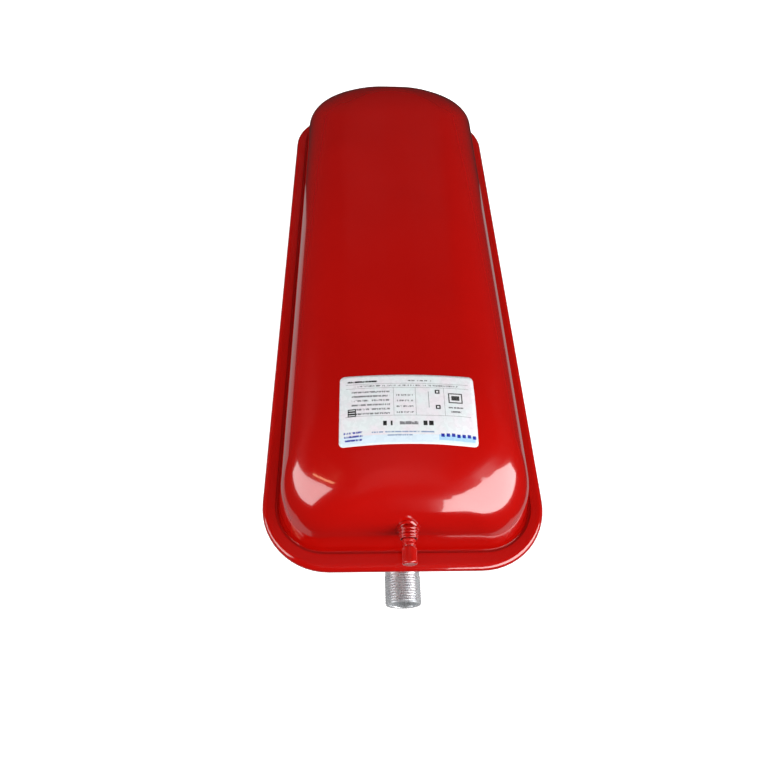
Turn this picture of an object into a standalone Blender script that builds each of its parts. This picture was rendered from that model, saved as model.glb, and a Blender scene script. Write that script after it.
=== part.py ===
"""Flat rectangular expansion vessel for a heating boiler, 10 litre format.

Two deep-drawn steel shells meet in a hemmed rim, which clamps a rubber diaphragm. A male threaded nipple
is welded to the end wall of the back (water) shell, and a gas charging valve to the front (gas) shell's.

Metres, +Z up. The vessel lies on its back shell: X runs across, Y along, nipple and valve at -Y.
The origin is on the resting face, under the middle of the whole vessel's box.
"""

import math

import bpy
import bmesh

# Rim: the hem that joins the shells
RIM_WIDTH = 0.203
RIM_LENGTH = 0.516
RIM_CORNER = 0.0495
RIM_THICKNESS = 0.009
RIM_BAND = 0.012
SHEET = 0.0012
GAP = 0.0003

# Shells: outline at the foot of the walls, and the pressed section
BASE_WIDTH = 0.180
BASE_LENGTH = 0.489
BASE_CORNER = 0.0345
CORNER_GROWTH = 0.7
CORNER_LIMIT = 0.050
DRAFT = math.radians(8.4)
FRONT_DEPTH = 0.0755
FRONT_EDGE = 0.057
FRONT_CROWN = 0.300
BACK_DEPTH = 0.066
BACK_EDGE = 0.042
LAST_HALF_WIDTH = 0.006

# Water connection: G 3/4 male thread
NIPPLE_REACH = 0.0135
NIPPLE_DROP = 0.0395
THREAD_RADIUS = 0.02644 / 2
THREAD_ROOT = 0.02412 / 2
THREAD_PITCH = 0.001814
THREAD_TURNS = 12
NIPPLE_SHANK = 0.0127
NIPPLE_BORE = 0.010
NIPPLE_CHAMFER = 0.0014
NIPPLE_LEG = 0.0032

# Gas valve, measured outwards from the front shell's wall
VALVE_RISE = 0.033
STEM_RADIUS = 0.0077 / 2
STEM_END = 0.021
STEM_TAIL = -0.003
BOSS_RADIUS = 0.0065
BOSS_WAIST = 0.0059
BOSS_END = 0.0072
CAP_RADIUS = 0.00515
CAP_START = 0.0128
CAP_END = 0.0232
SEAL_THICKNESS = 0.0006
BORE_RADIUS = 0.0019
MOUTH_RADIUS = 0.0026
PIN_RADIUS = 0.0005

# Diaphragm
RUBBER = 0.0025
PANEL_EDGE_HEIGHT = 0.016

# Rating label on the front face
LABEL_WIDTH = 0.090
LABEL_LENGTH = 0.050
LABEL_FROM_RIM = 0.0605
LABEL_THICKNESS = 0.0002

CORNER_STEPS = 8
TURN_STEPS = 24

TOTAL_LENGTH = RIM_LENGTH + NIPPLE_REACH
RIM_Z = BACK_DEPTH
NIPPLE_TIP_Y = -TOTAL_LENGTH / 2
RIM_NEAR_Y = NIPPLE_TIP_Y + NIPPLE_REACH
RIM_CENTRE_Y = RIM_NEAR_Y + RIM_LENGTH / 2
WALL_FOOT_Y = RIM_CENTRE_Y - BASE_LENGTH / 2
NIPPLE_Z = RIM_Z - NIPPLE_DROP
VALVE_Z = RIM_Z + VALVE_RISE

for old in list(bpy.data.objects):
    bpy.data.objects.remove(old)

vessel = bpy.data.collections.new("expansion_vessel")
bpy.context.scene.collection.children.link(vessel)


def material(name, colour, roughness, metallic=0.0):
    """A Principled material."""
    made = bpy.data.materials.new(name)
    made.use_nodes = True
    shader = made.node_tree.nodes["Principled BSDF"]
    shader.inputs["Base Color"].default_value = (*colour, 1.0)
    shader.inputs["Roughness"].default_value = roughness
    shader.inputs["Metallic"].default_value = metallic
    return made


RED_PAINT = material("red_paint", (0.55, 0.012, 0.008), 0.22)
CAP_RED = material("cap_red", (0.50, 0.012, 0.008), 0.3)
ZINC = material("zinc_plating", (0.62, 0.64, 0.67), 0.3, 1.0)
BRASS = material("brass", (0.72, 0.50, 0.20), 0.32, 1.0)
STEEL_WIRE = material("spring_steel", (0.55, 0.55, 0.56), 0.35, 1.0)
BLACK_RUBBER = material("black_rubber", (0.02, 0.02, 0.02), 0.75)
DIAPHRAGM_RUBBER = material("diaphragm_rubber", (0.03, 0.03, 0.032), 0.8)
SEAL_PLASTIC = material("seal_plastic", (0.75, 0.10, 0.07), 0.5)
LABEL_FILM = material("label_film", (0.86, 0.87, 0.88), 0.35)


def add(name, mesh, surface, parent=None):
    """Links a mesh, curve or other data block as one sub-part."""
    obj = bpy.data.objects.new(name, mesh)
    obj.data.materials.append(surface)
    obj.parent = parent
    vessel.objects.link(obj)
    return obj


# --- outlines and lofts ---------------------------------------------------------------------------


def outline(half_width, half_length, radius, z):
    """A rounded rectangle about the vessel's long axis, counter-clockwise from the +X side."""
    points = []
    for corner, (sign_x, sign_y) in enumerate(((1, 1), (-1, 1), (-1, -1), (1, -1))):
        for step in range(CORNER_STEPS + 1):
            angle = math.pi / 2 * (corner + step / CORNER_STEPS)
            x = sign_x * (half_width - radius) + radius * math.cos(angle)
            y = sign_y * (half_length - radius) + radius * math.sin(angle)
            points.append((x, RIM_CENTRE_Y + y, z))
    return points


def body_ring(inset, z, skin=0.0):
    """The shells' outline, set in from the walls' foot. skin is its depth below the outer surface."""
    half_width = BASE_WIDTH / 2 - inset
    half_length = BASE_LENGTH / 2 - inset
    radius = min(BASE_CORNER + CORNER_GROWTH * (inset - skin), CORNER_LIMIT) - skin
    return outline(half_width, half_length, min(radius, half_width - GAP), z)


def rim_ring(outward, z):
    """The outline between the walls' foot (outward 0) and the rim's edge (outward RIM_BAND)."""
    share = outward / RIM_BAND
    half_width = (BASE_WIDTH + share * (RIM_WIDTH - BASE_WIDTH)) / 2
    half_length = (BASE_LENGTH + share * (RIM_LENGTH - BASE_LENGTH)) / 2
    radius = BASE_CORNER + share * (RIM_CORNER - BASE_CORNER)
    return outline(half_width, half_length, radius, z)


def pressed_section(depth, edge, crown, skin=0.0, steps=8):
    """(inset, height) up a pressed shell: drafted wall, edge radius, then a crowned or a flat face."""
    half = BASE_WIDTH / 2 - skin / math.cos(DRAFT)
    depth = depth - skin
    edge = edge - skin
    if crown:
        crown = crown - skin
        rise = half * math.cos(DRAFT) + (crown - depth) * math.sin(DRAFT) - edge
        lean = math.asin(rise / (crown - edge)) - DRAFT
        arc_x = (crown - edge) * math.sin(lean)
        arc_z = depth - crown + (crown - edge) * math.cos(lean)
    else:
        lean = 0.0
        arc_z = depth - edge
        arc_x = half - edge / math.cos(DRAFT) - arc_z * math.tan(DRAFT)
    section = []
    for step in range(steps + 1):
        angle = DRAFT + (math.pi / 2 - lean - DRAFT) * step / steps
        x = arc_x + edge * math.cos(angle)
        section.append((BASE_WIDTH / 2 - x, arc_z + edge * math.sin(angle)))
    if crown:
        for share in (0.75, 0.5, 0.25):
            section.append((BASE_WIDTH / 2 - crown * math.sin(lean * share),
                            depth - crown + crown * math.cos(lean * share)))
    section.append((BASE_WIDTH / 2 - LAST_HALF_WIDTH, depth))
    return section


def wall_inset(height, depth, edge, crown):
    """How far the outer surface is set in from the walls' foot, at this height off the rim plane."""
    section = [(0.0, 0.0)] + pressed_section(depth, edge, crown, steps=48)
    for (inset_a, z_a), (inset_b, z_b) in zip(section, section[1:]):
        if z_a <= height <= z_b:
            return inset_a + (inset_b - inset_a) * (height - z_a) / (z_b - z_a)
    return section[-1][0]


def front_wall_y(z):
    """The y of the front shell's near end wall at this z."""
    return WALL_FOOT_Y + wall_inset(z - RIM_Z, FRONT_DEPTH, FRONT_EDGE, FRONT_CROWN)


def back_wall_y(z):
    """The y of the back shell's near end wall at this z."""
    return WALL_FOOT_Y + wall_inset(RIM_Z - z, BACK_DEPTH, BACK_EDGE, None)


def circle(radius, axis_z, y, steps=TURN_STEPS):
    """A circle about an axis along Y. y is a place, or a function of z for an end fitted to a wall."""
    points = []
    for step in range(steps):
        angle = 2 * math.pi * step / steps
        z = axis_z + radius * math.sin(angle)
        points.append((radius * math.cos(angle), y(z) if callable(y) else y, z))
    return points


def loft(name, rings, flip=False, cap=False, wrap=False):
    """A mesh through rings of equal count. wrap joins the last ring to the first, cap fills the last."""
    work = bmesh.new()
    loops = [[work.verts.new(point) for point in ring] for ring in rings]
    pairs = list(zip(loops, loops[1:]))
    if wrap:
        pairs.append((loops[-1], loops[0]))
    for lower, upper in pairs:
        count = len(lower)
        for j in range(count):
            k = (j + 1) % count
            corners = (lower[j], lower[k], upper[k], upper[j])
            work.faces.new(corners[::-1] if flip else corners)
    if cap:
        work.faces.new(loops[-1][::-1] if flip else loops[-1])
    for face in work.faces:
        face.smooth = True
    mesh = bpy.data.meshes.new(name)
    work.to_mesh(mesh)
    work.free()
    return mesh


def thicken(obj, thickness):
    """Gives an open surface its sheet thickness, inwards from the surface drawn."""
    wall = obj.modifiers.new("sheet", "SOLIDIFY")
    wall.thickness = thickness
    wall.offset = -1.0
    wall.use_even_offset = True
    return obj


def cut_hole(obj, name, radius, location, length):
    """Bores a round hole along Y."""
    bpy.ops.mesh.primitive_cylinder_add(
        vertices=TURN_STEPS, radius=radius, depth=length, location=location, rotation=(math.pi / 2, 0, 0)
    )
    cutter = bpy.context.active_object
    cutter.name = name
    for collection in list(cutter.users_collection):
        collection.objects.unlink(cutter)
    cutters.objects.link(cutter)
    cutter.hide_render = True
    cutter.display_type = "WIRE"
    hole = obj.modifiers.new("hole", "BOOLEAN")
    hole.operation = "DIFFERENCE"
    hole.solver = "EXACT"
    hole.object = cutter


cutters = bpy.data.collections.new("cutters")
bpy.context.scene.collection.children.link(cutters)

HEM_TOP = RIM_THICKNESS / 2
FLANGE_TOP = HEM_TOP - SHEET - GAP
CURL_RADIUS = RIM_THICKNESS / 2
CURL_OUT = RIM_BAND - CURL_RADIUS


def foot_bend(flange_height, bend, steps=3):
    """(outward, height) round the bend from a flange to a drafted wall."""
    centre_height = flange_height + bend
    centre_out = (bend - centre_height * math.sin(DRAFT)) / math.cos(DRAFT)
    points = []
    for step in range(steps + 1):
        angle = -math.pi / 2 - (math.pi / 2 - DRAFT) * step / steps
        points.append((centre_out + bend * math.cos(angle), centre_height + bend * math.sin(angle)))
    return points


# --- front shell: gas side ------------------------------------------------------------------------

FRONT_BEND = 0.0016

front_rings = [rim_ring(CURL_OUT, RIM_Z + FLANGE_TOP)]
front_rings += [rim_ring(out, RIM_Z + height) for out, height in foot_bend(FLANGE_TOP, FRONT_BEND)]
front_section = pressed_section(FRONT_DEPTH, FRONT_EDGE, FRONT_CROWN)
front_rings += [body_ring(inset, RIM_Z + height) for inset, height in front_section]
front_shell = add("front_shell", loft("front_shell", front_rings, cap=True), RED_PAINT)
thicken(front_shell, SHEET)
VALVE_WALL_Y = front_wall_y(VALVE_Z)
cut_hole(front_shell, "valve_hole_cutter", STEM_RADIUS + GAP, (0, VALVE_WALL_Y, VALVE_Z), 0.012)

# --- back shell: water side, its flange hemmed over the front flange ------------------------------

HEM_LIP_OUT = 0.0020
BACK_BEND = 0.0020
CURL_STEPS = 6

back_rings = [rim_ring(HEM_LIP_OUT, RIM_Z + HEM_TOP)]
for step in range(CURL_STEPS + 1):
    angle = math.pi / 2 - math.pi * step / CURL_STEPS
    back_rings.append(
        rim_ring(CURL_OUT + CURL_RADIUS * math.cos(angle), RIM_Z + CURL_RADIUS * math.sin(angle))
    )
back_rings += [rim_ring(out, RIM_Z - height) for out, height in foot_bend(CURL_RADIUS, BACK_BEND)]
back_section = pressed_section(BACK_DEPTH, BACK_EDGE, None)
back_rings += [body_ring(inset, RIM_Z - height) for inset, height in back_section]
back_shell = add("back_shell", loft("back_shell", back_rings, flip=True, cap=True), RED_PAINT)
thicken(back_shell, SHEET)
cut_hole(back_shell, "port_cutter", NIPPLE_BORE, (0, back_wall_y(NIPPLE_Z), NIPPLE_Z), 0.036)

# --- diaphragm: bead clamped in the rim, skirt that rolls, panel that travels ---------------------

BEAD_TOP = FLANGE_TOP - SHEET - GAP
BEAD_BOTTOM = -CURL_RADIUS + SHEET + GAP
BEAD_IN = -0.0058
BEAD_ROUND = 0.0008
SKIRT_SKIN = SHEET + 0.0005

bead_section = [
    (BEAD_IN, BEAD_TOP - BEAD_ROUND),
    (BEAD_IN, BEAD_BOTTOM),
    (CURL_OUT - BEAD_ROUND, BEAD_BOTTOM),
    (CURL_OUT, BEAD_BOTTOM + BEAD_ROUND),
    (CURL_OUT, BEAD_TOP - BEAD_ROUND),
    (CURL_OUT - BEAD_ROUND, BEAD_TOP),
    (BEAD_IN + BEAD_ROUND, BEAD_TOP),
]
bead_rings = [rim_ring(out, RIM_Z + height) for out, height in bead_section]
add("diaphragm_bead", loft("diaphragm_bead", bead_rings, wrap=True), DIAPHRAGM_RUBBER)

lining = pressed_section(BACK_DEPTH, BACK_EDGE, None, skin=SKIRT_SKIN)
skirt_top = -BEAD_BOTTOM + 2 * GAP + RUBBER * math.sin(DRAFT)
panel_edge = BACK_DEPTH - PANEL_EDGE_HEIGHT


def on_lining(depth):
    """The inset of the back shell's lining at this depth below the rim plane."""
    wall = SKIRT_SKIN / math.cos(DRAFT) + depth * math.tan(DRAFT)
    if depth <= lining[0][1]:
        return wall
    for (inset_a, z_a), (inset_b, z_b) in zip(lining, lining[1:]):
        if z_a <= depth <= z_b:
            return inset_a + (inset_b - inset_a) * (depth - z_a) / (z_b - z_a)
    return lining[-1][0]


skirt_depths = [skirt_top]
skirt_depths += [depth for _, depth in lining if skirt_top < depth < panel_edge - GAP]
skirt_depths.append(panel_edge - GAP)
skirt_rings = [body_ring(on_lining(depth), RIM_Z - depth, SKIRT_SKIN) for depth in skirt_depths]
diaphragm_skirt = add(
    "diaphragm_skirt", loft("diaphragm_skirt", skirt_rings, flip=True), DIAPHRAGM_RUBBER
)
thicken(diaphragm_skirt, RUBBER)

panel_section = [(on_lining(panel_edge + 2 * GAP), panel_edge + 2 * GAP)]
panel_section += [(inset, depth) for inset, depth in lining if depth > panel_edge + 0.001]
panel_rings = [body_ring(inset, RIM_Z - depth, SKIRT_SKIN) for inset, depth in panel_section]
diaphragm_panel = add(
    "diaphragm_panel", loft("diaphragm_panel", panel_rings, flip=True, cap=True), DIAPHRAGM_RUBBER
)
thicken(diaphragm_panel, RUBBER)

# --- water nipple and its weld --------------------------------------------------------------------

NIPPLE_STEPS = 32


def on_back_wall(off):
    """A place along Y that stands off the back shell's end wall."""
    return lambda z: back_wall_y(z) - off


nipple_rings = [
    (NIPPLE_SHANK, on_back_wall(GAP)),
    (NIPPLE_SHANK, NIPPLE_TIP_Y + NIPPLE_CHAMFER + (THREAD_TURNS + 0.5) * THREAD_PITCH),
]
for turn in reversed(range(THREAD_TURNS)):
    crest_y = NIPPLE_TIP_Y + NIPPLE_CHAMFER + turn * THREAD_PITCH
    nipple_rings.append((THREAD_ROOT, crest_y + 0.6 * THREAD_PITCH))
    nipple_rings.append((THREAD_RADIUS, crest_y + 0.1 * THREAD_PITCH))
nipple_rings += [
    (THREAD_ROOT - 0.0002, NIPPLE_TIP_Y),
    (NIPPLE_BORE + 0.0004, NIPPLE_TIP_Y),
    (NIPPLE_BORE, NIPPLE_TIP_Y + 0.0006),
    (NIPPLE_BORE, on_back_wall(GAP)),
]
nipple_loops = [circle(radius, NIPPLE_Z, y, NIPPLE_STEPS) for radius, y in nipple_rings]
add("water_nipple", loft("water_nipple", nipple_loops, wrap=True), ZINC)


def weld_fillet(name, radius, axis_z, wall, leg, throat, steps):
    """A fillet bead round a fitting, following the wall it stands on."""
    section = [
        (radius + GAP, GAP),
        (radius + GAP + leg, GAP),
        (radius + GAP + 0.62 * leg, GAP + 0.45 * throat),
        (radius + GAP + 0.25 * leg, GAP + 0.85 * throat),
        (radius + GAP, GAP + throat),
    ]
    rings = [circle(r, axis_z, (lambda z, off=off: wall(z) - off), steps) for r, off in section]
    return add(name, loft(name, rings, wrap=True), RED_PAINT)


weld_fillet("nipple_weld", NIPPLE_SHANK, NIPPLE_Z, back_wall_y, NIPPLE_LEG, NIPPLE_LEG, NIPPLE_STEPS)

# --- gas valve: boss welded to the wall, stem, seals, cap -----------------------------------------


def from_wall(distance):
    """The y at this distance outwards along the valve's axis."""
    return VALVE_WALL_Y - distance


def on_front_wall(off):
    """A place along Y that stands off the front shell's end wall."""
    return lambda z: front_wall_y(z) - off


boss_rings = [
    (BOSS_WAIST, on_front_wall(GAP)),
    (BOSS_WAIST, from_wall(0.0029)),
    (BOSS_RADIUS, from_wall(0.0032)),
    (BOSS_RADIUS, from_wall(0.0039)),
    (BOSS_WAIST, from_wall(0.0043)),
    (BOSS_WAIST, from_wall(0.0053)),
    (BOSS_RADIUS, from_wall(0.0057)),
    (BOSS_RADIUS, from_wall(0.0066)),
    (BOSS_WAIST, from_wall(BOSS_END)),
    (0.0051, from_wall(BOSS_END)),
    (0.0051, from_wall(0.0055)),
    (STEM_RADIUS + GAP, from_wall(0.0055)),
    (STEM_RADIUS + GAP, on_front_wall(GAP)),
]
boss_loops = [circle(radius, VALVE_Z, y) for radius, y in boss_rings]
add("valve_boss", loft("valve_boss", boss_loops, wrap=True), RED_PAINT)
weld_fillet("valve_weld", BOSS_WAIST, VALVE_Z, front_wall_y, 0.0017, 0.0009, TURN_STEPS)

valve_axis = bpy.data.objects.new("valve_axis", None)
valve_axis.location = (0, VALVE_WALL_Y, VALVE_Z)
valve_axis.rotation_euler = (math.pi / 2, 0, 0)
vessel.objects.link(valve_axis)


def turned(name, profile, surface, closed=True, steps=TURN_STEPS):
    """A piece turned about the valve's axis. The (radius, distance) profile runs down its outer side."""
    count = len(profile)
    edges = [(i, i + 1) for i in range(count - 1)]
    if closed:
        edges.append((count - 1, 0))
    mesh = bpy.data.meshes.new(name)
    mesh.from_pydata([(radius, 0, distance) for radius, distance in profile], edges, [])
    obj = add(name, mesh, surface, parent=valve_axis)
    turn = obj.modifiers.new("turn", "SCREW")
    turn.axis = "Z"
    turn.angle = 2 * math.pi
    turn.steps = steps
    turn.render_steps = steps
    turn.use_merge_vertices = True
    turn.merge_threshold = 0.000001
    turn.use_smooth_shade = True
    return obj


SHOULDER_START = BOSS_END + GAP
SHOULDER_END = 0.0090
SEAT_TOP = 0.0128
SEAT_BOTTOM = 0.0118

turned("valve_stem", [
    (MOUTH_RADIUS, STEM_END),
    (STEM_RADIUS - 0.0004, STEM_END),
    (STEM_RADIUS, STEM_END - 0.0005),
    (STEM_RADIUS, SHOULDER_END),
    (0.0047, SHOULDER_END - 0.0002),
    (0.0047, SHOULDER_START),
    (STEM_RADIUS, SHOULDER_START),
    (STEM_RADIUS, STEM_TAIL),
    (BORE_RADIUS, STEM_TAIL),
    (BORE_RADIUS, SEAT_BOTTOM),
    (MOUTH_RADIUS, SEAT_TOP),
], BRASS)

turned("stem_seal", [
    (STEM_RADIUS + 2 * GAP, BOSS_END - 0.0001),
    (0.0048, BOSS_END - 0.0001),
    (0.0048, 0.0058),
    (STEM_RADIUS + 2 * GAP, 0.0058),
], BLACK_RUBBER)

SEAL_BOTTOM = STEM_END + GAP
CAP_INSIDE = SEAL_BOTTOM + SEAL_THICKNESS + GAP

turned("valve_cap", [
    (0.0, CAP_END),
    (CAP_RADIUS - 0.0011, CAP_END),
    (CAP_RADIUS - 0.0003, CAP_END - 0.0003),
    (CAP_RADIUS, CAP_END - 0.0011),
    (CAP_RADIUS, CAP_START + 0.0016),
    (CAP_RADIUS - 0.0005, CAP_START),
    (STEM_RADIUS + GAP, CAP_START),
    (STEM_RADIUS + GAP, CAP_INSIDE),
    (0.0, CAP_INSIDE),
], CAP_RED, closed=False)

turned("cap_seal", [
    (0.0, SEAL_BOTTOM + SEAL_THICKNESS),
    (STEM_RADIUS, SEAL_BOTTOM + SEAL_THICKNESS),
    (STEM_RADIUS, SEAL_BOTTOM),
    (0.0, SEAL_BOTTOM),
], BLACK_RUBBER, closed=False)

# --- valve core, inside the stem ------------------------------------------------------------------

CORE_STEPS = 16
PLUG_RADIUS = MOUTH_RADIUS - GAP
PLUG_BOTTOM = 0.0149
PLUG_TOP = 0.0184
BARREL_TOP = PLUG_BOTTOM - GAP
BARREL_BOTTOM = 0.0095
BARREL_RADIUS = 0.0016
BARREL_BORE = 0.00125
PIN_TOP = 0.0204
PIN_BOTTOM = 0.0062
POPPET_TOP = BARREL_BOTTOM - GAP

turned("core_plug", [
    (PIN_RADIUS + GAP, PLUG_TOP),
    (PLUG_RADIUS - 0.0003, PLUG_TOP),
    (PLUG_RADIUS, PLUG_TOP - 0.0003),
    (PLUG_RADIUS, PLUG_BOTTOM),
    (PIN_RADIUS + GAP, PLUG_BOTTOM),
], BRASS, steps=CORE_STEPS)

turned("core_barrel", [
    (BARREL_BORE, BARREL_TOP),
    (0.0022, BARREL_TOP),
    (0.0022, BARREL_TOP - 0.0006),
    (BARREL_RADIUS, BARREL_TOP - 0.0006),
    (BARREL_RADIUS, BARREL_BOTTOM),
    (BARREL_BORE, BARREL_BOTTOM),
], BRASS, steps=CORE_STEPS)

turned("core_gasket", [
    (BARREL_RADIUS + 0.0002, BARREL_TOP - 0.0008),
    (PLUG_RADIUS, BARREL_TOP - 0.0008),
    (PLUG_RADIUS, SEAT_TOP + 0.0003),
    (BARREL_RADIUS + 0.0002, SEAT_TOP - 0.0002),
], SEAL_PLASTIC, steps=CORE_STEPS)

turned("core_pin", [
    (0.0, PIN_TOP),
    (0.0007, PIN_TOP),
    (0.0008, PIN_TOP - 0.0002),
    (0.0008, PIN_TOP - 0.0006),
    (PIN_RADIUS, PIN_TOP - 0.0006),
    (PIN_RADIUS, PIN_BOTTOM),
    (0.0, PIN_BOTTOM),
], BRASS, closed=False, steps=CORE_STEPS)

turned("core_poppet_seal", [
    (PIN_RADIUS + GAP, POPPET_TOP),
    (0.0015, POPPET_TOP),
    (0.0015, POPPET_TOP - 0.0007),
    (PIN_RADIUS + GAP, POPPET_TOP - 0.0007),
], BLACK_RUBBER, steps=CORE_STEPS)

turned("core_cup", [
    (PIN_RADIUS + GAP, POPPET_TOP - 0.0010),
    (0.0016, POPPET_TOP - 0.0010),
    (0.0014, POPPET_TOP - 0.0020),
    (PIN_RADIUS + GAP, POPPET_TOP - 0.0020),
], BRASS, steps=CORE_STEPS)


def core_spring():
    """Closes the core: a coil round the pin, inside the barrel."""
    turns = 5
    per_turn = 8
    bottom = BARREL_BOTTOM + 0.0003
    top = BARREL_TOP - 0.0003
    curve = bpy.data.curves.new("core_spring", "CURVE")
    curve.dimensions = "3D"
    curve.bevel_depth = 0.00013
    curve.bevel_resolution = 2
    curve.use_fill_caps = True
    wire = curve.splines.new("POLY")
    wire.points.add(turns * per_turn)
    for i, point in enumerate(wire.points):
        angle = 2 * math.pi * i / per_turn
        height = bottom + (top - bottom) * i / (turns * per_turn)
        point.co = (0.00088 * math.cos(angle), 0.00088 * math.sin(angle), height, 1)
    add("core_spring", curve, STEEL_WIRE, parent=valve_axis)


core_spring()

# --- rating label ---------------------------------------------------------------------------------


def rating_label():
    """Printed film stuck to the crowned face, a sheet dropped onto it."""
    work = bmesh.new()
    bmesh.ops.create_grid(work, x_segments=12, y_segments=12, size=0.5)
    for vert in work.verts:
        x = vert.co.x * LABEL_WIDTH
        y = RIM_NEAR_Y + LABEL_FROM_RIM + (vert.co.y + 0.5) * LABEL_LENGTH
        vert.co = (x, y, RIM_Z + 2 * FRONT_DEPTH)
    mesh = bpy.data.meshes.new("rating_label")
    work.to_mesh(mesh)
    work.free()
    film = add("rating_label", mesh, LABEL_FILM)
    lay = film.modifiers.new("lay", "SHRINKWRAP")
    lay.target = front_shell
    lay.wrap_method = "PROJECT"
    lay.use_project_z = True
    lay.use_positive_direction = False
    lay.use_negative_direction = True
    lay.offset = GAP + LABEL_THICKNESS
    thicken(film, LABEL_THICKNESS)


rating_label()
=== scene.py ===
import math

import bmesh
import bpy
from mathutils import Matrix, Vector


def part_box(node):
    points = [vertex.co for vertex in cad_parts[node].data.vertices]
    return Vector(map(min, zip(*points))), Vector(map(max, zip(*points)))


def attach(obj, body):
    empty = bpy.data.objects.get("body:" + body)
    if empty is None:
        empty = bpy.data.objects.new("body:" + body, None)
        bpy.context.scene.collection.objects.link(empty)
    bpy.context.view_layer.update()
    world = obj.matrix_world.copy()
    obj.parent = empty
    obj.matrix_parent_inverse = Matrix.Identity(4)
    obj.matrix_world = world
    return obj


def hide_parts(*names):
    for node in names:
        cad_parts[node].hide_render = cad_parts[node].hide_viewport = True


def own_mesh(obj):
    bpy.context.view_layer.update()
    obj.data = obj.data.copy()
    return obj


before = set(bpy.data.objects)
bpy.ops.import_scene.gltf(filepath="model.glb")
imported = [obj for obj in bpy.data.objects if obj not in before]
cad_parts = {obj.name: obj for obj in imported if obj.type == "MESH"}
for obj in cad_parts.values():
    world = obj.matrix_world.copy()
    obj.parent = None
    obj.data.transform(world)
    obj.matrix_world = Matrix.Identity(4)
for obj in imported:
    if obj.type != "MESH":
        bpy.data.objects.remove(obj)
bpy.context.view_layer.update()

# ------------------------------------------------------------------------------------------------------------
# Back shell: the water half, deep-drawn from steel sheet. Its flange is turned up and folded over the front
# shell's flange, which makes the hem all round the rim. It is drawn as one surface from the hem's free lip,
# round the curl, down the wall and across the floor, and then given the sheet's thickness.

SHEET = 0.0012
HEM_THICKNESS = 0.009
HEM_BAND = 0.012
HEM_LIP = 0.0020
SIDE_BAND = 0.0115
END_BAND = 0.0135
WALL_DRAFT = math.radians(8.4)
FOOT_CORNER = 0.0345
RIM_CORNER = 0.0495
CORNER_GROWTH = 0.7
CORNER_LIMIT = 0.050
CORNER_SEGMENTS = 14
MIDDLE_HALF_WIDTH = 0.002
BACK_EDGE = 0.042
BACK_BEND = 0.0020
BEND_STEPS = 6
NIPPLE_STRIP = 0.016
JOINT_GAP = 0.0003
SAME_POINT = 0.000001
ON_CUT = 0.0000001
CURL = HEM_THICKNESS / 2

back_low, back_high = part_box("back_shell")
rim_half_width = back_high.x
rim_half_length = (back_high.y - back_low.y) / 2
rim_middle_y = (back_high.y + back_low.y) / 2
rim_z = back_high.z - HEM_THICKNESS / 2
foot_half_width = rim_half_width - SIDE_BAND
foot_half_length = rim_half_length - END_BAND
back_depth = rim_z - back_low.z


def outline(work, half_width, half_length, radius, height):
    """A rounded rectangle round the vessel's long axis: four points with their corners bevelled off."""
    corners = bmesh.ops.create_grid(work, x_segments=1, y_segments=1, size=1)["verts"]
    bmesh.ops.scale(work, vec=(half_width, half_length, 1), verts=corners)
    bmesh.ops.translate(work, vec=(0, rim_middle_y, height), verts=corners)
    arcs = bmesh.ops.bevel(
        work, geom=corners, offset=radius, offset_type="OFFSET", segments=CORNER_SEGMENTS,
        profile=0.5, affect="VERTICES", material=-1,
    )
    return arcs["verts"][0].link_faces[0]


def body_outline(work, inset, height, skin=0.0):
    """The shells' outline this far in from the foot of the walls, at a skin's depth under the outer surface."""
    radius = min(FOOT_CORNER + CORNER_GROWTH * (inset - skin), CORNER_LIMIT) - skin
    half_width = foot_half_width - inset
    return outline(work, half_width, foot_half_length - inset, min(radius, half_width * 0.98), height)


def hem_outline(work, outward, height):
    """The outline this far out from the foot of the walls, in the hem's flat band."""
    share = outward / HEM_BAND
    half_width = foot_half_width + share * (rim_half_width - foot_half_width)
    half_length = foot_half_length + share * (rim_half_length - foot_half_length)
    return outline(work, half_width, half_length, FOOT_CORNER + share * (RIM_CORNER - FOOT_CORNER), height)


def columns(work, places):
    """Cuts a lofted shell along its length at each X, so that a hole's edge disturbs only a narrow strip."""
    for place in places:
        bmesh.ops.bisect_plane(
            work, geom=work.verts[:] + work.edges[:] + work.faces[:], plane_co=(place, 0, 0),
            plane_no=(1, 0, 0), dist=ON_CUT,
        )


def loft(work, outlines, closed_end=True):
    """Skins the outlines in turn. The last one stays as the face in the middle if closed_end is set."""
    rings = [list(face.edges) for face in outlines]
    bmesh.ops.delete(work, geom=outlines[:-1] if closed_end else outlines, context="FACES_ONLY")
    for ring, following in zip(rings, rings[1:]):
        bmesh.ops.bridge_loops(work, edges=ring + following)


def pressed_section(depth, edge, crown=None, skin=0.0, steps=20):
    """(inset, height) from a drafted wall's foot, over its edge radius and across a crowned or flat face."""
    half = foot_half_width - skin / math.cos(WALL_DRAFT)
    depth -= skin
    edge -= skin
    lean = 0.0
    arc_z = depth - edge
    arc_x = half - edge / math.cos(WALL_DRAFT) - arc_z * math.tan(WALL_DRAFT)
    if crown:
        crown -= skin
        rise = half * math.cos(WALL_DRAFT) + (crown - depth) * math.sin(WALL_DRAFT) - edge
        lean = math.asin(rise / (crown - edge)) - WALL_DRAFT
        arc_x = (crown - edge) * math.sin(lean)
        arc_z = depth - crown + (crown - edge) * math.cos(lean)
    section = []
    for step in range(steps + 1):
        angle = WALL_DRAFT + (math.pi / 2 - lean - WALL_DRAFT) * step / steps
        section.append((foot_half_width - arc_x - edge * math.cos(angle), arc_z + edge * math.sin(angle)))
    crown_steps = 12 if crown else 0
    for step in range(1, crown_steps):
        angle = lean * (1 - step / crown_steps)
        section.append((foot_half_width - crown * math.sin(angle), depth - crown + crown * math.cos(angle)))
    section.append((foot_half_width - MIDDLE_HALF_WIDTH, depth))
    return section


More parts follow.
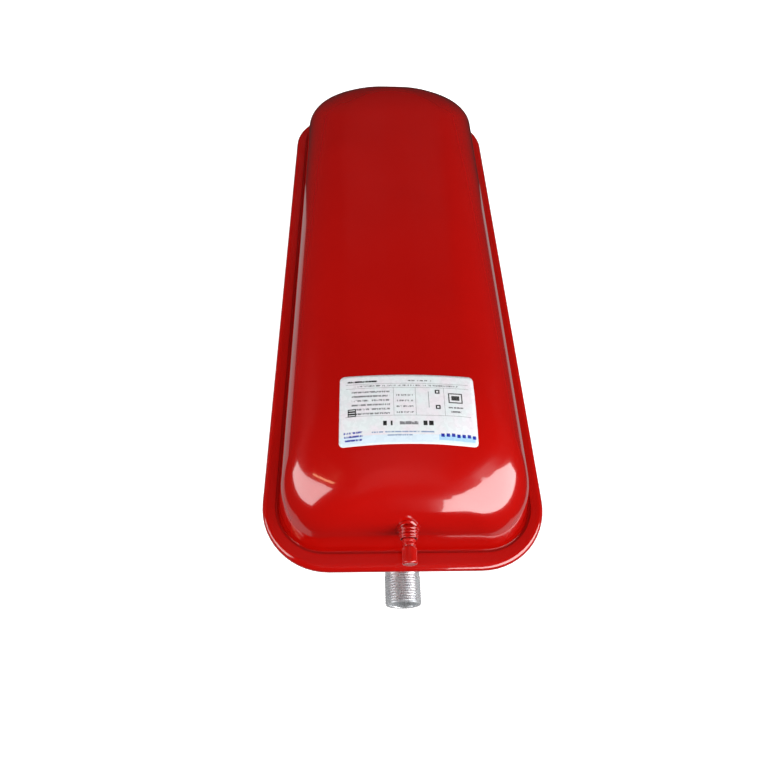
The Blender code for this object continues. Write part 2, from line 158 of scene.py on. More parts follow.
def foot_bend(flange_height, bend):
    """(outward, height) round the bend from a flange into a drafted wall."""
    centre = Vector(((bend - (flange_height + bend) * math.sin(WALL_DRAFT)) / math.cos(WALL_DRAFT),
                     flange_height + bend))
    turn = math.pi / 2 - WALL_DRAFT
    angles = [turn * step / BEND_STEPS for step in range(BEND_STEPS + 1)]
    return [(centre.x - bend * math.sin(angle), centre.y - bend * math.cos(angle)) for angle in angles]


def piece_from(work, name, body, node, material, thickness=None):
    """Makes the mesh one finished piece that stands for a node and rides on its body."""
    bmesh.ops.remove_doubles(work, verts=work.verts, dist=SAME_POINT)
    bmesh.ops.recalc_face_normals(work, faces=work.faces)
    mesh = bpy.data.meshes.new(name)
    work.to_mesh(mesh)
    work.free()
    mesh.shade_smooth()
    piece = bpy.data.objects.new(name, mesh)
    bpy.context.scene.collection.objects.link(piece)
    mesh.materials.append(material)
    if thickness:
        wall = piece.modifiers.new("sheet thickness", "SOLIDIFY")
        wall.thickness = thickness
        wall.offset = -1.0
        wall.use_even_offset = True
    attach(piece, body)
    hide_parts(node)
    return piece


def material_with(name, colour, roughness, metallic=0.0):
    """A Principled material, its nodes and its object coordinates, ready for a pattern."""
    made = bpy.data.materials.new(name)
    made.use_nodes = True
    nodes = made.node_tree.nodes
    shader = nodes["Principled BSDF"]
    shader.inputs["Base Color"].default_value = (*colour, 1)
    shader.inputs["Roughness"].default_value = roughness
    shader.inputs["Metallic"].default_value = metallic
    place = nodes.new("ShaderNodeTexCoord")
    return made, made.node_tree, shader, place.outputs["Object"]


def noise(tree, place, scale, detail=3.0, roughness=0.5):
    """Noise over the piece, about scale blotches to the metre."""
    node = tree.nodes.new("ShaderNodeTexNoise")
    node.inputs["Scale"].default_value = scale
    node.inputs["Detail"].default_value = detail
    node.inputs["Roughness"].default_value = roughness
    tree.links.new(place, node.inputs["Vector"])
    return node.outputs["Fac"]


def ramp(tree, value, low, high):
    """Spreads a value over two colours, or over two grey levels given as numbers."""
    node = tree.nodes.new("ShaderNodeValToRGB")
    for stop, (position, level) in zip(node.color_ramp.elements, (low, high)):
        stop.position = position
        stop.color = (*level, 1) if isinstance(level, tuple) else (level, level, level, 1)
    tree.links.new(value, node.inputs["Fac"])
    return node.outputs["Color"]


def mottled(tree, place, socket, scale, detail, low, high):
    """Runs a socket between a low and a high value over the blotches of a noise."""
    tree.links.new(ramp(tree, noise(tree, place, scale, detail), low, high), socket)


def bump(tree, shader, height, depth, after=None, coat=False):
    """Raises the surface by depth metres where height is 1. after is a bump that it adds to."""
    node = tree.nodes.new("ShaderNodeBump")
    node.inputs["Strength"].default_value = 1.0
    node.inputs["Distance"].default_value = depth
    tree.links.new(height, node.inputs["Height"])
    if after:
        tree.links.new(after, node.inputs["Normal"])
    tree.links.new(node.outputs["Normal"], shader.inputs["Normal"])
    if coat:
        tree.links.new(node.outputs["Normal"], shader.inputs["Coat Normal"])
    return node.outputs["Normal"]


def red_enamel():
    """Gloss red baked enamel: a hard clear skin with faint orange peel over sheet that isn't quite flat."""
    made, tree, shader, place = material_with("red enamel", (0.40, 0.0024, 0.0010), 0.14)
    shader.inputs["Coat Weight"].default_value = 1.0
    shader.inputs["Coat Roughness"].default_value = 0.03
    shader.inputs["Coat IOR"].default_value = 1.6
    mottled(
        tree, place, shader.inputs["Base Color"], 14, 4,
        (0.2, (0.375, 0.0021, 0.0009)), (0.8, (0.425, 0.0027, 0.0012)),
    )
    mottled(tree, place, shader.inputs["Roughness"], 30, 4, (0.2, 0.12), (0.8, 0.17))
    sheet_wave = bump(tree, shader, noise(tree, place, 9, 2, 0.4), 0.0004, coat=True)
    bump(tree, shader, noise(tree, place, 700, 2), 0.000003, after=sheet_wave, coat=True)
    return made


enamel = red_enamel()

work = bmesh.new()
back_outlines = [hem_outline(work, HEM_LIP, rim_z + CURL)]
for step in range(13):
    angle = math.pi / 2 - math.pi * step / 12
    back_outlines.append(
        hem_outline(work, HEM_BAND - CURL + CURL * math.cos(angle), rim_z + CURL * math.sin(angle))
    )
for outward, height in foot_bend(CURL, BACK_BEND):
    back_outlines.append(hem_outline(work, outward, rim_z - height))
for inset, height in pressed_section(back_depth, BACK_EDGE):
    back_outlines.append(body_outline(work, inset, rim_z - height))
loft(work, back_outlines)
columns(work, (-NIPPLE_STRIP, NIPPLE_STRIP))
back_shell = piece_from(work, "back_shell_sheet", "vessel", "back_shell", enamel, SHEET)

# ------------------------------------------------------------------------------------------------------------
# Front shell: the gas half, drawn deeper, with a crowned face. Its flange lies inside the hem, and the dark
# groove round the foot of the wall is the gap between its bend and the hem's lip.

FRONT_EDGE = 0.057
FRONT_CROWN = 0.300
FLANGE_HEIGHT = CURL - SHEET - JOINT_GAP
FRONT_BEND = 0.0016
VALVE_STRIP = 0.0085

front_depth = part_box("front_shell")[1].z - rim_z

work = bmesh.new()
front_outlines = [hem_outline(work, HEM_BAND - CURL, rim_z + FLANGE_HEIGHT)]
for outward, height in foot_bend(FLANGE_HEIGHT, FRONT_BEND):
    front_outlines.append(hem_outline(work, outward, rim_z + height))
for inset, height in pressed_section(front_depth, FRONT_EDGE, FRONT_CROWN, steps=28):
    front_outlines.append(body_outline(work, inset, rim_z + height))
loft(work, front_outlines)
columns(work, (-VALVE_STRIP, VALVE_STRIP))
front_shell = piece_from(work, "front_shell_sheet", "vessel", "front_shell", enamel, SHEET)

# ------------------------------------------------------------------------------------------------------------
# Water nipple: a turned steel stub with a G 3/4 thread, zinc plated. It is welded to the back shell's end wall
# and left unpainted, masked off when the vessel was sprayed. The thread is a real helix that runs out into the
# plain shank, and the mouth is chamfered through the first turn.

THREAD_PITCH = 0.001814
THREAD_CREST = 0.01322
THREAD_DEPTH = 0.001162
THREAD_LENGTH = 0.0220
THREAD_SEGMENTS = 96
THREAD_RINGS = 14
NIPPLE_SHANK = 0.0127
NIPPLE_BORE = 0.010
NIPPLE_CHAMFER = 0.0009
NEAR_CORNER = 0.00012

nipple_low, nipple_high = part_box("water_nipple")
nipple_z = (nipple_low.z + nipple_high.z) / 2


def wall_y(height, depth, edge, crown=None):
    """The near end wall's y at this height off the rim plane."""
    section = [(0.0, 0.0)] + pressed_section(depth, edge, crown, steps=60)
    for (inset_a, height_a), (inset_b, height_b) in zip(section, section[1:]):
        if height_a <= height <= height_b:
            share = (height - height_a) / (height_b - height_a)
            return rim_middle_y - foot_half_length + inset_a + share * (inset_b - inset_a)
    return rim_middle_y


def back_wall_y(z):
    """The y of the back shell's near end wall at this z."""
    return wall_y(rim_z - z, back_depth, BACK_EDGE)


def held(profile, closed):
    """The profile with a point close to each end of every long run, so that only its corners look turned."""
    points = []
    for start, end in zip(profile, profile[1:] + profile[:1]):
        points.append(start)
        length = math.dist(start, end)
        if length > 0.0008 and (closed or end != profile[0]):
            for share in (NEAR_CORNER / length, 1 - NEAR_CORNER / length):
                points.append(tuple(a + share * (b - a) for a, b in zip(start, end)))
    return points


def turned(work, profile, axis_z, segments=48, closed=True):
    """Spins an (radius, y) profile about an axis along Y through X = 0."""
    points = [work.verts.new((radius, y, axis_z)) for radius, y in held(profile, closed)]
    pairs = list(zip(points, points[1:])) + ([(points[-1], points[0])] if closed else [])
    edges = [work.edges.new(pair) for pair in pairs]
    bmesh.ops.spin(
        work, geom=points + edges, cent=(0, 0, axis_z), axis=(0, 1, 0), angle=2 * math.pi,
        steps=segments, use_merge=True,
    )
    bmesh.ops.remove_doubles(work, verts=work.verts, dist=SAME_POINT)


def thread_radius(along, turn):
    """The 55 degree thread's radius at a distance from the mouth and a part of a turn."""
    phase = (along / THREAD_PITCH - turn) % 1.0
    flank = abs(phase - 0.5) * 2
    rounded = min(max((flank - 0.14) / 0.72, 0.0), 1.0)
    run_out = min(max((THREAD_LENGTH - along) / (1.5 * THREAD_PITCH), 0.0), 1.0)
    chamfer = 1.0 - min(max((NIPPLE_CHAMFER - along) / NIPPLE_CHAMFER, 0.0), 1.0)
    crest = THREAD_CREST - (1 - chamfer) * (THREAD_DEPTH - 0.0003)
    root = THREAD_CREST - THREAD_DEPTH
    cut = root + (THREAD_CREST - root) * (1 - rounded)
    shank = NIPPLE_SHANK if along > THREAD_LENGTH - THREAD_PITCH else THREAD_CREST
    return min(crest, shank + (cut - shank) * run_out)


def zinc_plate():
    """Bright zinc plating: a faint blue cast, cloudy patches, and fine tool marks round the axis."""
    made, tree, shader, place = material_with("zinc plating", (0.72, 0.74, 0.76), 0.28, 0.75)
    mottled(
        tree, place, shader.inputs["Base Color"], 180, 4,
        (0.2, (0.68, 0.71, 0.75)), (0.8, (0.84, 0.85, 0.86)),
    )
    mottled(tree, place, shader.inputs["Roughness"], 420, 3, (0.2, 0.22), (0.8, 0.34))
    stretch = tree.nodes.new("ShaderNodeMapping")
    stretch.inputs["Scale"].default_value = (60, 9000, 60)
    tree.links.new(place, stretch.inputs["Vector"])
    bump(tree, shader, noise(tree, stretch.outputs["Vector"], 1, 2), 0.000002)
    return made


zinc = zinc_plate()

work = bmesh.new()
step_y = THREAD_PITCH / THREAD_RINGS
thread_steps = round((THREAD_LENGTH + THREAD_PITCH) / step_y)
nipple_profile = [(NIPPLE_SHANK, back_wall_y(nipple_z) - JOINT_GAP)]
nipple_profile += [(THREAD_CREST, nipple_low.y + step_y * step) for step in range(thread_steps, 0, -1)]
nipple_profile += [
    (THREAD_CREST - THREAD_DEPTH + 0.0003, nipple_low.y),
    (NIPPLE_BORE + 0.0005, nipple_low.y),
    (NIPPLE_BORE + 0.0001, nipple_low.y + 0.0004),
    (NIPPLE_BORE, nipple_low.y + 0.0012),
    (NIPPLE_BORE, back_wall_y(nipple_z) - JOINT_GAP),
]
turned(work, nipple_profile, nipple_z, THREAD_SEGMENTS)
for vert in work.verts:
    radius = math.hypot(vert.co.x, vert.co.z - nipple_z)
    along = vert.co.y - nipple_low.y
    if radius > NIPPLE_SHANK and step_y / 2 < along:
        turn = math.atan2(vert.co.z - nipple_z, vert.co.x) / (2 * math.pi)
        wanted = thread_radius(along, turn)
        vert.co.x *= wanted / radius
        vert.co.z = nipple_z + (vert.co.z - nipple_z) * wanted / radius
    elif along > THREAD_LENGTH + THREAD_PITCH:
        vert.co.y = back_wall_y(vert.co.z) - JOINT_GAP
piece_from(work, "threaded_nipple", "vessel", "water_nipple", zinc)


def drill(piece, radius, y, z, length):
    """Bores a round hole along Y right through a shell's wall, after it has its thickness."""
    work = bmesh.new()
    bmesh.ops.create_cone(
        work, cap_ends=True, segments=48, radius1=radius, radius2=radius, depth=length,
        matrix=Matrix.Translation((0, y, z)) @ Matrix.Rotation(math.pi / 2, 4, "X"),
    )
    mesh = bpy.data.meshes.new("drill")
    work.to_mesh(mesh)
    work.free()
    bit = bpy.data.objects.new("drill", mesh)
    bpy.context.scene.collection.objects.link(bit)
    hole = piece.modifiers.new("hole", "BOOLEAN")
    hole.object = bit
    hole.solver = "EXACT"
    bpy.context.view_layer.update()
    drilled = bpy.data.meshes.new_from_object(piece.evaluated_get(bpy.context.evaluated_depsgraph_get()))
    drilled.set_sharp_from_angle(angle=math.radians(50))
    piece.modifiers.clear()
    piece.data = drilled
    bpy.data.objects.remove(bit)


drill(back_shell, NIPPLE_BORE, back_wall_y(nipple_z), nipple_z, 0.036)

# ------------------------------------------------------------------------------------------------------------
# Nipple weld: one fillet run of steel filler that holds the nipple to the end wall. Its ripples show through the
# paint, which covers it with the shell.

NIPPLE_WELD_LEG = 0.0032
WELD_RIPPLE = 0.00022


def weld_bead(name, node, radius, axis_z, wall, leg, height, segments, ripples):
    """A fillet run that follows the wall round a fitting, with the small ridges of its overlapping pools."""
    work = bmesh.new()
    angles = [math.pi / 16 * step for step in range(9)]
    section = [(radius + leg * (1 - math.sin(angle)), height * (1 - math.cos(angle))) for angle in angles]
    turned(work, [(radius, 0.0)] + section, axis_z, segments)
    for vert in work.verts:
        around = math.atan2(vert.co.z - axis_z, vert.co.x)
        proud = vert.co.y / height * 0.5 + 0.5 if vert.co.y > 0 else 0.0
        ridge = 1 + proud * WELD_RIPPLE / leg * abs(math.sin(around * ripples / 2))
        out = math.hypot(vert.co.x, vert.co.z - axis_z)
        wider = radius + (out - radius) * ridge
        vert.co.x *= wider / out
        vert.co.z = axis_z + (vert.co.z - axis_z) * wider / out
        vert.co.y = wall(vert.co.z) - JOINT_GAP - vert.co.y
    return piece_from(work, name, "vessel", node, enamel)


weld_bead(
    "nipple_weld_bead", "nipple_weld", NIPPLE_SHANK + JOINT_GAP, nipple_z, back_wall_y,
    NIPPLE_WELD_LEG, NIPPLE_WELD_LEG, 96, 34,
)

# ------------------------------------------------------------------------------------------------------------
# Diaphragm: one black rubber moulding in the real vessel. Its bead is clamped in the hem, its thin skirt
# rolls along the back shell's wall, and its panel lies on the floor until water pushes it up.

RUBBER = 0.0025
LINING_SKIN = SHEET + 0.0005

bead_low, bead_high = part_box("diaphragm_bead")
skirt_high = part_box("diaphragm_skirt")[1]
panel_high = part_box("diaphragm_panel")[1]


def moulded_rubber():
    """Black diaphragm rubber: matt, a little dusty with mould release, with a fine grain."""
    made, tree, shader, place = material_with("diaphragm rubber", (0.022, 0.022, 0.023), 0.72)
    shader.inputs["Specular IOR Level"].default_value = 0.35
    mottled(
        tree, place, shader.inputs["Base Color"], 35, 5,
        (0.4, (0.018, 0.018, 0.019)), (0.75, (0.040, 0.040, 0.041)),
    )
    mottled(tree, place, shader.inputs["Roughness"], 90, 3, (0.3, 0.62), (0.7, 0.80))
    bump(tree, shader, noise(tree, place, 1600, 3), 0.00003)
    return made


rubber = moulded_rubber()

work = bmesh.new()
bead_inner = -0.0058
bead_round = 0.0008
bead_outer = HEM_BAND - CURL
bead_section = [(bead_inner, bead_high.z - bead_round), (bead_inner, bead_low.z)]
for first_angle, arc_z in ((-math.pi / 2, bead_low.z + bead_round), (0, bead_high.z - bead_round)):
    for step in range(5):
        angle = first_angle + math.pi / 2 * step / 4
        bead_section.append((
            bead_outer - bead_round + bead_round * math.cos(angle),
            arc_z + bead_round * math.sin(angle),
        ))
bead_section.append((bead_inner + bead_round, bead_high.z))
bead_outlines = [hem_outline(work, outward, height) for outward, height in bead_section]
bead_rings = [list(face.edges) for face in bead_outlines]
bmesh.ops.delete(work, geom=bead_outlines, context="FACES_ONLY")
for ring, following in zip(bead_rings, bead_rings[1:] + bead_rings[:1]):
    bmesh.ops.bridge_loops(work, edges=ring + following)
piece_from(work, "clamped_bead", "vessel", "diaphragm_bead", rubber)

lining = pressed_section(back_depth, BACK_EDGE, skin=LINING_SKIN, steps=28)


def lining_inset(depth):
    """The lining's inset from the foot of the walls at this depth below the rim plane."""
    for (inset_a, depth_a), (inset_b, depth_b) in zip(lining, lining[1:]):
        if depth_a <= depth <= depth_b:
            return inset_a + (inset_b - inset_a) * (depth - depth_a) / (depth_b - depth_a)
    return LINING_SKIN / math.cos(WALL_DRAFT) + depth * math.tan(WALL_DRAFT)


def lining_piece(name, node, body, depths, closed_end):
    """A stretch of the diaphragm that lies 0.5 mm off the back shell's inner face."""
    work = bmesh.new()
    outlines = [body_outline(work, lining_inset(depth), rim_z - depth, LINING_SKIN) for depth in depths]
    loft(work, outlines, closed_end)
    return piece_from(work, name, body, node, rubber, RUBBER)


panel_edge = rim_z - panel_high.z + 0.0012
skirt_top = rim_z - skirt_high.z + RUBBER * math.sin(WALL_DRAFT)
skirt_bottom = panel_edge - 0.0010
skirt_depths = [skirt_top + (skirt_bottom - skirt_top) * step / 18 for step in range(19)]
panel_depths = [panel_edge] + [depth for _, depth in lining[:-1] if depth > panel_edge + 0.0005]
rolling_skirt = lining_piece("rolling_skirt", "diaphragm_skirt", "vessel", skirt_depths, False)
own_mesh(rolling_skirt)
lining_piece("travelling_panel", "diaphragm_panel", "diaphragm", panel_depths, True)

# ------------------------------------------------------------------------------------------------------------
# Gas valve body: a ribbed steel boss welded to the front shell's end wall, sprayed with the shell. The stem's
# shoulder seals on a rubber ring in the boss's mouth, and its tail opens into the gas space.

BOSS_WAIST = 0.0059
BOSS_RIB = 0.0065
BOSS_MOUTH = 0.0051
BOSS_MOUTH_DEPTH = 0.0017
BOSS_ROOT = 0.004
RIB_WIDTH = 0.0014
RIB_STEPS = 6
VALVE_SEGMENTS = 64

boss_low, boss_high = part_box("valve_boss")
stem_low, stem_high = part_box("valve_stem")
cap_low, cap_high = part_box("valve_cap")
valve_z = (boss_low.z + boss_high.z) / 2
stem_radius = 0.0077 / 2


def front_wall_y(z):
    """The y of the front shell's near end wall at this z."""
    return wall_y(z - rim_z, front_depth, FRONT_EDGE, FRONT_CROWN)


valve_wall_y = front_wall_y(valve_z)
boss_end_y = boss_low.y


def rounded_rib(radius, waist, y, width):
    """(radius, y) over one half-round rib, from its far side to its near side."""
    angles = [math.pi * step / RIB_STEPS for step in range(RIB_STEPS + 1)]
    return [(waist + (radius - waist) * math.sin(angle), y + width / 2 * math.cos(angle)) for angle in angles]


work = bmesh.new()
boss_profile = [(BOSS_WAIST, valve_wall_y + BOSS_ROOT)]
for rib_from_wall in (0.0010, 0.0031, 0.0052):
    boss_profile += rounded_rib(BOSS_RIB, BOSS_WAIST, valve_wall_y - rib_from_wall, RIB_WIDTH)
boss_profile += [
    (BOSS_WAIST, boss_end_y + 0.0003),
    (BOSS_WAIST - 0.0003, boss_end_y),
    (BOSS_MOUTH, boss_end_y),
    (BOSS_MOUTH, boss_end_y + BOSS_MOUTH_DEPTH),
    (stem_radius + JOINT_GAP, boss_end_y + BOSS_MOUTH_DEPTH),
    (stem_radius + JOINT_GAP, valve_wall_y + BOSS_ROOT),
]
turned(work, boss_profile, valve_z, VALVE_SEGMENTS)
for vert in work.verts:
    vert.co.y = min(vert.co.y, front_wall_y(vert.co.z) - JOINT_GAP)
piece_from(work, "ribbed_boss", "vessel", "valve_boss", enamel)
drill(front_shell, stem_radius + JOINT_GAP, valve_wall_y, valve_z, 0.012)
weld_bead(
    "valve_weld_bead", "valve_weld", BOSS_WAIST + JOINT_GAP, valve_z, front_wall_y, 0.0017, 0.0009,
    VALVE_SEGMENTS, 16,
)

# ------------------------------------------------------------------------------------------------------------
# Valve stem: turned brass with the 8 mm tyre valve thread. It is sprayed red where it stands clear of its cap,
# and bare on the thread under it.

THREAD_8V1 = 0.00079375
STEM_PAINTED_TO = cap_high.y - 0.0002
THREAD_ROOT_8V1 = stem_radius - 0.0005
THREAD_CREST_8V1 = stem_radius - 0.00005
STEM_WAIST = stem_radius - 0.0001
STEM_MOUTH = 0.0026
STEM_BORE = 0.0019


def painted_brass():
    """Brass with the vessel's red enamel over the stretch that the cap leaves bare."""
    made, tree, shader, place = material_with("painted brass", (0.62, 0.42, 0.14), 0.3)
    axis = tree.nodes.new("ShaderNodeSeparateXYZ")
    tree.links.new(place, axis.inputs["Vector"])
    painted = tree.nodes.new("ShaderNodeMath")
    painted.operation = "GREATER_THAN"
    painted.inputs[1].default_value = STEM_PAINTED_TO
    tree.links.new(axis.outputs["Y"], painted.inputs[0])
    coat = tree.nodes.new("ShaderNodeMix")
    coat.data_type = "RGBA"
    coat.inputs["A"].default_value = (0.68, 0.46, 0.17, 1)
    coat.inputs["B"].default_value = (0.46, 0.004, 0.002, 1)
    tree.links.new(painted.outputs["Value"], coat.inputs["Factor"])
    tree.links.new(coat.outputs["Result"], shader.inputs["Base Color"])
    bare = tree.nodes.new("ShaderNodeMath")
    bare.operation = "SUBTRACT"
    bare.inputs[0].default_value = 1.0
    tree.links.new(painted.outputs["Value"], bare.inputs[1])
    tree.links.new(bare.outputs["Value"], shader.inputs["Metallic"])
    mottled(tree, place, shader.inputs["Roughness"], 900, 3, (0.3, 0.22), (0.7, 0.34))
    bump(tree, shader, noise(tree, place, 1500, 2), 0.000008)
    return made


work = bmesh.new()
stem_end_y = stem_low.y
shoulder_y = boss_end_y - JOINT_GAP
stem_profile = [
    (stem_radius, stem_high.y),
    (stem_radius, shoulder_y),
    (0.0043, shoulder_y),
    (0.0045, shoulder_y - 0.0002),
    (0.0045, shoulder_y - 0.0011),
    (0.0042, shoulder_y - 0.0014),
    (STEM_WAIST, shoulder_y - 0.0017),
]
stem_profile += rounded_rib(0.0042, STEM_WAIST, shoulder_y - 0.0032, 0.0011)
thread_start = cap_high.y + 0.0006
turns_8v1 = int((thread_start - stem_end_y - 0.0008) / THREAD_8V1)
for turn in range(turns_8v1):
    y = thread_start - turn * THREAD_8V1
    stem_profile += [
        (THREAD_ROOT_8V1, y - 0.1 * THREAD_8V1),
        (THREAD_CREST_8V1, y - 0.45 * THREAD_8V1),
        (THREAD_CREST_8V1, y - 0.60 * THREAD_8V1),
        (THREAD_ROOT_8V1, y - 0.95 * THREAD_8V1),
    ]
stem_profile += [
    (THREAD_ROOT_8V1, stem_end_y),
    (STEM_MOUTH, stem_end_y),
    (STEM_MOUTH, stem_end_y + 0.0082),
    (STEM_BORE, stem_end_y + 0.0092),
    (STEM_BORE, stem_high.y),
]
turned(work, stem_profile, valve_z, VALVE_SEGMENTS)
piece_from(work, "threaded_stem", "vessel", "valve_stem", painted_brass())

# ------------------------------------------------------------------------------------------------------------
# Valve core: a brass plug screws down on a barrel in the stem. A coil inside the barrel pulls the pin, its
# rubber poppet and its cup outwards against the barrel's end. All of it is a few millimetres across.

CORE_SEGMENTS = 40
PIN_RADIUS = 0.0005
PIN_HOLE = PIN_RADIUS + JOINT_GAP
BARREL_BORE = 0.00125
BARREL_RADIUS = 0.0016
BARREL_FLANGE = 0.0022
SPRING_RADIUS = 0.00088
SPRING_WIRE = 0.00013
SPRING_TURNS = 5
WIRE_SIDES = 8
WIRE_STEPS = 24


def turned_brass():
    """Plain turned brass, with a fine grain."""
    made, tree, shader, place = material_with("turned brass", (0.68, 0.46, 0.17), 0.26, 1.0)
    mottled(
        tree, place, shader.inputs["Base Color"], 500, 3,
        (0.2, (0.60, 0.40, 0.14)), (0.8, (0.74, 0.52, 0.22)),
    )
    mottled(tree, place, shader.inputs["Roughness"], 900, 3, (0.2, 0.20), (0.8, 0.34))
    bump(tree, shader, noise(tree, place, 4000, 2), 0.000003)
    return made


def seal_rubber():
    """Black nitrile, cut from sheet."""
    made, tree, shader, place = material_with("seal rubber", (0.020, 0.020, 0.021), 0.6)
    mottled(tree, place, shader.inputs["Roughness"], 800, 3, (0.2, 0.5), (0.8, 0.7))
    bump(tree, shader, noise(tree, place, 3000, 2), 0.000006)
    return made


def gasket_plastic():
    """Red moulded fluoroplastic, waxy and matt."""
    made, tree, shader, place = material_with("gasket plastic", (0.70, 0.09, 0.06), 0.45)
    mottled(tree, place, shader.inputs["Roughness"], 900, 3, (0.2, 0.38), (0.8, 0.52))
    bump(tree, shader, noise(tree, place, 2500, 2), 0.000004)
    return made


def spring_wire():
    """Drawn stainless wire."""
    made, tree, shader, place = material_with("spring wire", (0.56, 0.56, 0.57), 0.3, 1.0)
    mottled(tree, place, shader.inputs["Roughness"], 2500, 3, (0.2, 0.22), (0.8, 0.40))
    bump(tree, shader, noise(tree, place, 6000, 2), 0.000002)
    return made


core_brass = turned_brass()
nitrile = seal_rubber()


def core_piece(name, body, node, material, profile, closed=True):
    """A small piece turned about the valve's axis."""
    work = bmesh.new()
    turned(work, profile, valve_z, CORE_SEGMENTS, closed)
    return piece_from(work, name, body, node, material)


plug_low, plug_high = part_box("core_plug")
plug_radius = plug_high.x
core_piece("slotted_plug", "vessel", "core_plug", core_brass, [
    (PIN_HOLE, plug_low.y),
    (plug_radius - 0.0003, plug_low.y),
    (plug_radius, plug_low.y + 0.0003),
    (plug_radius, plug_low.y + 0.0011),
    (plug_radius - 0.0002, plug_low.y + 0.0013),
    (plug_radius, plug_low.y + 0.0015),
    (plug_radius, plug_high.y),
    (PIN_HOLE, plug_high.y),
])

barrel_low, barrel_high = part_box("core_barrel")
core_piece("flanged_barrel", "vessel", "core_barrel", core_brass, [
    (BARREL_BORE, barrel_low.y),
    (BARREL_FLANGE - 0.0001, barrel_low.y),
    (BARREL_FLANGE, barrel_low.y + 0.0001),
    (BARREL_FLANGE, barrel_low.y + 0.0006),
    (BARREL_RADIUS, barrel_low.y + 0.0006),
    (BARREL_RADIUS, barrel_high.y - 0.0002),
    (BARREL_RADIUS - 0.0001, barrel_high.y),
    (BARREL_BORE, barrel_high.y),
])

gasket_low, gasket_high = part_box("core_gasket")
core_piece("tapered_gasket", "vessel", "core_gasket", gasket_plastic(), [
    (0.0018, gasket_low.y),
    (plug_radius - 0.0001, gasket_low.y),
    (plug_radius, gasket_low.y + 0.0001),
    (plug_radius, gasket_high.y - 0.0005),
    (0.0018, gasket_high.y),
])

pin_low, pin_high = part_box("core_pin")
core_piece("headed_pin", "core_plunger", "core_pin", core_brass, [
    (0.0, pin_low.y),
    (0.0006, pin_low.y),
    (0.0008, pin_low.y + 0.0002),
    (0.0008, pin_low.y + 0.0006),
    (PIN_RADIUS, pin_low.y + 0.0006),
    (PIN_RADIUS, pin_high.y),
    (0.0, pin_high.y),
], closed=False)

poppet_low, poppet_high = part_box("core_poppet_seal")
core_piece("poppet_washer", "core_plunger", "core_poppet_seal", nitrile, [
    (PIN_HOLE, poppet_low.y),
    (0.00145, poppet_low.y),
    (0.0015, poppet_low.y + 0.0001),
    (0.0015, poppet_high.y),
    (PIN_HOLE, poppet_high.y),
])

cup_low, cup_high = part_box("core_cup")
core_piece("poppet_cup", "core_plunger", "core_cup", core_brass, [
    (PIN_HOLE, cup_low.y),
    (0.0015, cup_low.y),
    (0.0016, cup_low.y + 0.0001),
    (0.0014, cup_high.y),
    (PIN_HOLE, cup_high.y),
])

spring_low, spring_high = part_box("core_spring")
work = bmesh.new()
wire_points = WIRE_STEPS * SPRING_TURNS
coil_start = spring_high.y - SPRING_WIRE
coil_length = spring_high.y - spring_low.y - 2 * SPRING_WIRE
wire_rings = []
for point in range(wire_points + 1):
    angle = 2 * math.pi * SPRING_TURNS * point / wire_points
    outward = Vector((math.cos(angle), 0, math.sin(angle)))
    centre = Vector((0, coil_start - coil_length * point / wire_points, valve_z)) + SPRING_RADIUS * outward
    wire_rings.append([
        work.verts.new(
            centre + SPRING_WIRE * (math.cos(around) * outward + math.sin(around) * Vector((0, 1, 0)))
        )
        for around in (2 * math.pi * side / WIRE_SIDES for side in range(WIRE_SIDES))
    ])
for ring, following in zip(wire_rings, wire_rings[1:]):
    for side in range(WIRE_SIDES):
        work.faces.new((ring[side], ring[side - 1], following[side - 1], following[side]))
work.faces.new(wire_rings[0])
work.faces.new(wire_rings[-1][::-1])
coil = piece_from(work, "closing_coil", "vessel", "core_spring", spring_wire())
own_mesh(coil)

seal_low, seal_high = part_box("stem_seal")
core_piece("shoulder_ring", "vessel", "stem_seal", nitrile, [
    (0.00445, seal_low.y),
    (0.0047, seal_low.y),
    (0.0048, seal_low.y + 0.0001),
    (0.0048, seal_high.y - 0.0001),
    (0.0047, seal_high.y),
    (0.00445, seal_high.y),
])

disc_low, disc_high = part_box("cap_seal")
core_piece("cap_disc", "seal_carriage", "cap_seal", nitrile, [
    (0.0, disc_low.y),
    (disc_high.x - 0.0001, disc_low.y),
    (disc_high.x, disc_low.y + 0.0001),
    (disc_high.x, disc_high.y - 0.0001),
    (disc_high.x - 0.0001, disc_high.y),
    (0.0, disc_high.y),
], closed=False)

# ------------------------------------------------------------------------------------------------------------
# Valve cap: red moulded plastic, screwed on the stem to keep dirt out. Its end is flat with a rounded edge and a
# shallow ring, and a loose rubber disc lies inside it.


def cap_plastic():
    """Glossy moulded red, a shade deeper than the enamel."""
    made, tree, shader, place = material_with("cap plastic", (0.44, 0.005, 0.003), 0.16)
    shader.inputs["Coat Weight"].default_value = 1.0
    shader.inputs["Coat Roughness"].default_value = 0.03
    shader.inputs["Coat IOR"].default_value = 1.6
    mottled(
        tree, place, shader.inputs["Base Color"], 260, 3,
        (0.3, (0.41, 0.004, 0.002)), (0.7, (0.47, 0.006, 0.004)),
    )
    mottled(tree, place, shader.inputs["Roughness"], 700, 3, (0.3, 0.12), (0.7, 0.22))
    bump(tree, shader, noise(tree, place, 1800, 2), 0.000006)
    return made


